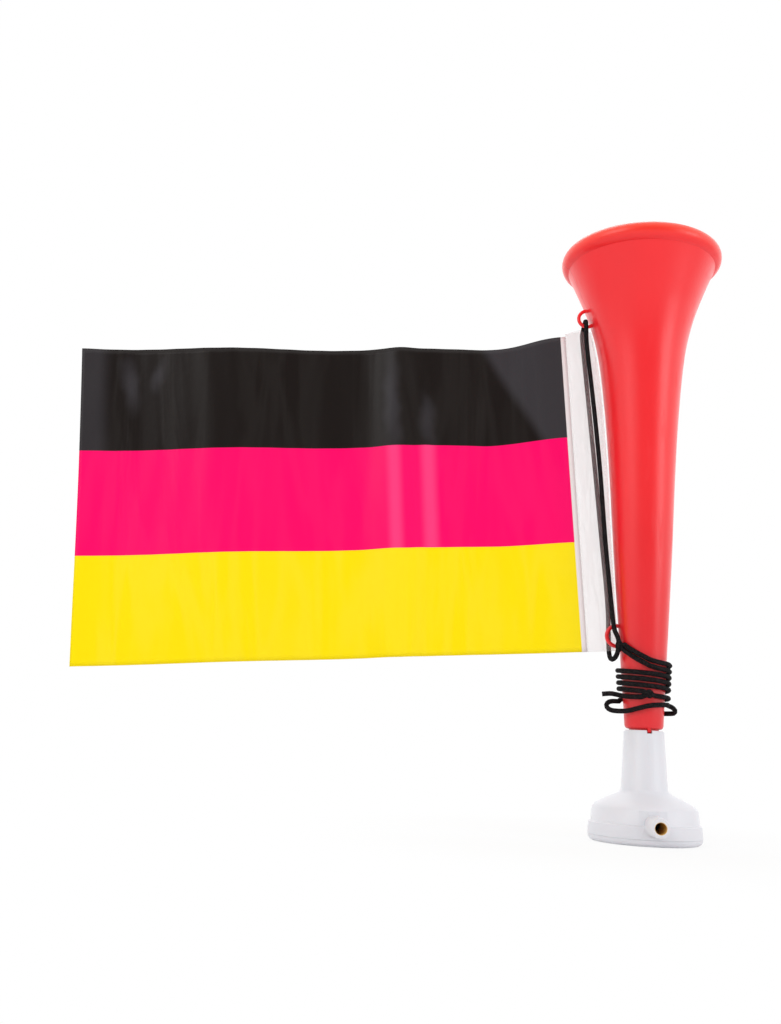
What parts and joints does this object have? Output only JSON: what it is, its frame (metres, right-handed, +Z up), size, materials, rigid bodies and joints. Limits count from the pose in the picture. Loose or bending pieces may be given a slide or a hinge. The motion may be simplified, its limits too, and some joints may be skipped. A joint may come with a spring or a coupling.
{
  "type": "stadium horn with flag",
  "caption": "Mouth-blown red plastic fan horn on a white reed chamber, with a black lanyard cord and a striped flag in a clear sleeve.",
  "frame": {"origin": "centre of the base cap's underside", "axes": "+Z up the horn, -Y towards the blow nozzle and the viewer, -X the way the flag flies"},
  "size_m": [0.2562, 0.0634, 0.23],
  "materials": {
    "red_plastic": "glossy moulded red",
    "white_plastic": "satin moulded white",
    "reed_film": "clear film",
    "flag_print": "printed film in black, magenta and yellow thirds",
    "clear_film": "clear film, milky in its folds",
    "black_cord": "plain black cord"
  },
  "bodies": {
    "base": {"chamber_body": "white_plastic", "base_cap": "white_plastic", "clamp_ring": "white_plastic", "reed_film": "reed_film"},
    "bell": {"horn_bell": "red_plastic", "flag_sleeve": "clear_film", "cord_run": "black_cord", "cord_long_strand": "black_cord", "cord_short_strand": "black_cord", "cord_left_end": "black_cord", "cord_right_end": "black_cord", "knot_eyelet": "black_cord", "knot_front": "black_cord"},
    "flag": {"flag_panel": "flag_print"}
  },
  "joints": [
    {"name": "bell_pull", "type": "slide", "parent": "base", "child": "bell", "axis": [0, 0, 1], "range_m": [0, 0.02]},
    {"name": "flag_swing", "type": "hinge", "parent": "bell", "child": "flag", "pos_m": [-0.03001, 0.003, 0.19445], "axis": [-0.075, 0, 0.9972], "range_deg": [-90, 90]}
  ]
}
